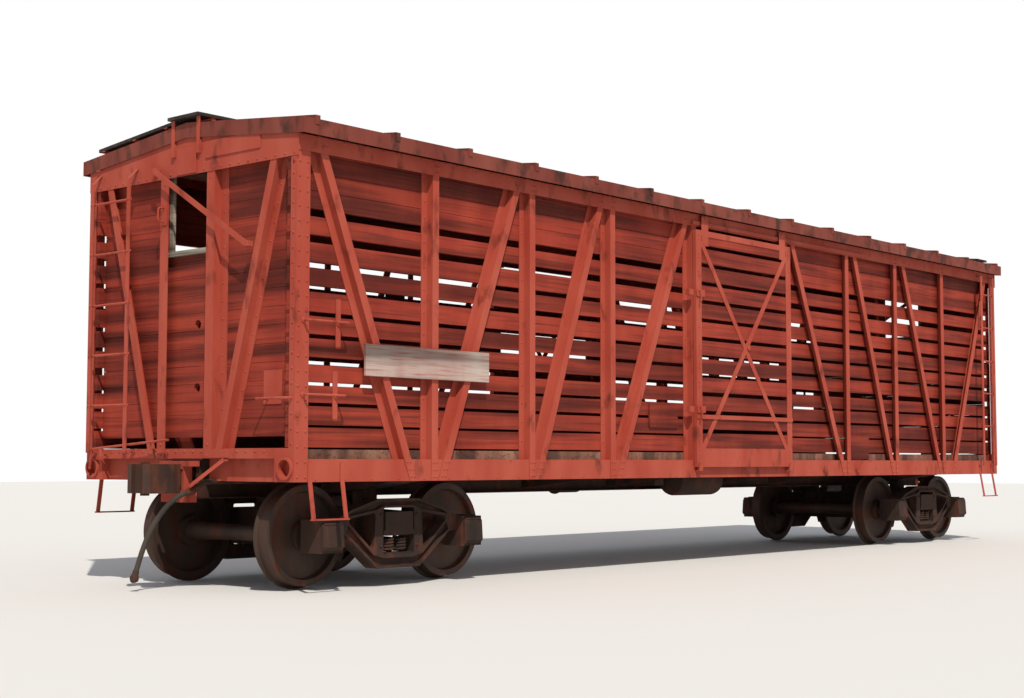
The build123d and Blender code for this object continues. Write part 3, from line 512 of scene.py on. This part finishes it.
for end in (-1, 1):
    air.turning((end * 6.375, -0.222, 0.824), (end * 0.85, 0.28, -0.35), COCK, 20)
    handle = (end * 6.395, -0.215, 0.84), (end * 6.395, -0.215, 0.885), (end * 6.395, -0.33, 0.89)
    air.bar(handle, 0.008, 0.01)
make("air_brake_gear", air, under)

# %% [markdown]
# A rubber hose hangs from the cock at each end, with a cast head that would lock into the next car's. A
# mesh tube would do as well, but a curve with a round bevel takes five points and bends evenly. Hose and
# head each ride on the car body.
# %%
NECK = ((0, 0.026), (0.03, 0.027), (0.05, 0.034), (0.075, 0.030), (0.09, 0.014))
JAW = ((0, 0.028), (0.02, 0.036), (0.045, 0.036), (0.052, 0.024))
for tag, end in (("a", -1), ("b", 1)):
    route = [(end * 6.440, -0.196, 0.800), (end * 6.540, -0.170, 0.760), (end * 6.640, -0.070, 0.590),
             (end * 6.705, 0.020, 0.361), (end * 6.732, 0.080, 0.135)]
    head = Stock()
    head.turning((end * 6.729, 0.072, 0.165), (end * 0.1, 0.22, -0.95), NECK, 20)
    head.turning((end * 6.715, 0.078, 0.105), (end, 0, 0), JAW, 20)
    glad = make(f"glad_hand_{tag}", head, cast)
    curve = bpy.data.curves.new(f"air_hose_{tag}", "CURVE")
    curve.dimensions, curve.use_fill_caps = "3D", True
    curve.bevel_depth, curve.bevel_resolution = 0.022, 6
    spline = curve.splines.new("NURBS")
    spline.points.add(len(route) - 1)
    for point, place in zip(spline.points, route):
        point.co = (*place, 1)
    spline.order_u, spline.use_endpoint_u = 3, True
    curve.resolution_u = 16
    curve.materials.append(rubber)
    hose = bpy.data.objects.new(f"air_hose_{tag}", curve)
    bpy.context.scene.collection.objects.link(hose)
    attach(hose, "carbody")
    print(hose.name, "from", route[0], "to", route[-1])

# %% [markdown]
# A truck's bolster rests on two nests of coil springs. The CAD has four plain stacks of disks in each, and
# here two real coils replace them. The formula of a coil is p(t) = (r cos 2 pi n t, r sin 2 pi n t, h t). A
# screw modifier could do the same, but as points they need no conversion.
# %%
for tag, end in (("a", -1), ("b", 1)):
    coils = Stock()
    centre = end * TRUCK
    low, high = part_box(f"springs_{tag}")[0][2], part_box(f"springs_{tag}")[1][2]
    for side in (-1, 1):
        across = sorted((side * 0.935, side * 1.055))
        coils.plate((centre - 0.150, centre + 0.150), across, (low, low + 0.012))
        coils.plate((centre - 0.140, centre + 0.140), across, (high - 0.008, high))
        for dx in (-0.072, 0.072):
            t = np.linspace(0, 1, 90)
            coils.tube(np.stack([centre + dx + 0.048 * np.cos(9 * np.pi * t),
                                 side * 0.995 + 0.048 * np.sin(9 * np.pi * t),
                                 low + 0.022 + (high - low - 0.042) * t], -1), 0.0115, 10, beside=(0, 0, 1))
    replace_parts(make(f"coil_springs_{tag}", coils, iron, f"truck_{tag}", bevel=0),
                f"springs_{tag}")

# %% [markdown]
# Each journal box has a lid with a hinge pin and two bolts, and each side frame has column bolts by the
# springs. They are too small for the CAD, but catch the light. They ride on their truck, and swivel with
# it.
# %%
for tag, end in (("a", -1), ("b", 1)):
    bolts = Stock()
    centre = end * TRUCK
    for side in (-1, 1):
        for axle in (-1, 1):
            x = centre + axle * AXLE
            bolts.bar(((x - 0.10, side * 1.146, 0.545), (x + 0.10, side * 1.146, 0.545)), 0.013)
            for dx in (-0.10, 0.10):
                bolts.rivet((x + dx, side * 1.135, 0.335), (0, side, 0), 0.014)
        for dx in (-0.215, 0.215):
            for z in (0.34, 0.60):
                bolts.rivet((centre + dx, side * 1.065, z), (0, side, 0), 0.018)
    make(f"truck_bolts_{tag}", bolts, iron, f"truck_{tag}", bevel=0)

# %% [markdown]
# A plain pale floor takes the car's shadow. It lies 2 mm under the wheels, so that the two don't flicker
# together.
# %%
FLOOR_HALF, FLOOR_Z = 60, -0.002
floor = bpy.data.meshes.new("floor_plane")
square = [(x * FLOOR_HALF, y * FLOOR_HALF, FLOOR_Z) for x, y in ((-1, -1), (1, -1), (1, 1), (-1, 1))]
floor.from_pydata(square, [], [(0, 1, 2, 3)])
ground = bpy.data.objects.new("floor_plane", floor)
bpy.context.scene.collection.objects.link(ground)
pale = bpy.data.materials.new("pale_floor")
pale.use_nodes = True
pale_shader = pale.node_tree.nodes["Principled BSDF"]
pale_shader.inputs["Base Color"].default_value = (0.72, 0.70, 0.67, 1)
pale_shader.inputs["Roughness"].default_value = 0.9
floor.materials.append(pale)
print("floor", 2 * FLOOR_HALF, "m square")

# %% [markdown]
# The camera stands where the photographer did, worked out from standard sizes such as the 33 inch wheels. A
# lens that is f pixels long on a picture w pixels wide has 36 f / w mm on a 36 mm sensor. A high sun from
# behind the right shoulder gives the shadows under the eaves.
# %%
WIDTH, HEIGHT, FOCAL_PIXELS = 1024, 698, 1594.88
scene = bpy.context.scene
camera = bpy.data.objects.new("camera", bpy.data.cameras.new("camera"))
scene.collection.objects.link(camera)
camera.location = (-14.5315, -10.7705, 1.0301 + RAIL)
camera.rotation_euler = (radians(94.0235), radians(-0.0631), radians(-48.9067))
camera.data.sensor_width, camera.data.lens = 36, FOCAL_PIXELS * 36 / WIDTH
camera.data.clip_end = 200
scene.camera = camera
scene.render.resolution_x, scene.render.resolution_y = WIDTH, HEIGHT
scene.view_settings.view_transform = "Standard"

sun = bpy.data.objects.new("sun", bpy.data.lights.new("sun", "SUN"))
scene.collection.objects.link(sun)
sun.data.energy, sun.data.angle, sun.data.color = 3.4, radians(0.8), (1.0, 0.95, 0.87)
sun.rotation_euler = Vector((-0.48, -0.66, 1.0)).to_track_quat("Z", "Y").to_euler()
print("lens", round(camera.data.lens, 2), "mm")

# %% [markdown]
# A weak pale sky fills the shadows. The backdrop is white, but would then light the car from all round, so
# the white shows to camera, glossy and transmission rays only: seen = max(glossy, max(camera,
# transmission)).
# %%
world = bpy.data.worlds.new("sky")
scene.world = world
world.use_nodes = True
nodes, links = world.node_tree.nodes, world.node_tree.links
nodes.clear()
output, seen, lit, choose, path = (nodes.new(f"ShaderNode{kind}") for kind in (
    "OutputWorld", "Background", "Background", "MixShader", "LightPath"))
seen.inputs["Color"].default_value = (1, 1, 1, 1)
lit.inputs["Color"].default_value = (0.80, 0.88, 1.0, 1)
lit.inputs["Strength"].default_value = 0.45
either, any_of = nodes.new("ShaderNodeMath"), nodes.new("ShaderNodeMath")
either.operation = any_of.operation = "MAXIMUM"
for start, end in ((path.outputs["Is Camera Ray"], either.inputs[0]),
                   (path.outputs["Is Transmission Ray"], either.inputs[1]),
                   (path.outputs["Is Glossy Ray"], any_of.inputs[0]),
                   (either.outputs[0], any_of.inputs[1]),
                   (any_of.outputs[0], choose.inputs[0]),
                   (lit.outputs[0], choose.inputs[1]),
                   (seen.outputs[0], choose.inputs[2]),
                   (choose.outputs[0], output.inputs["Surface"])):
    links.new(start, end)
print("sky", lit.inputs["Strength"].default_value)
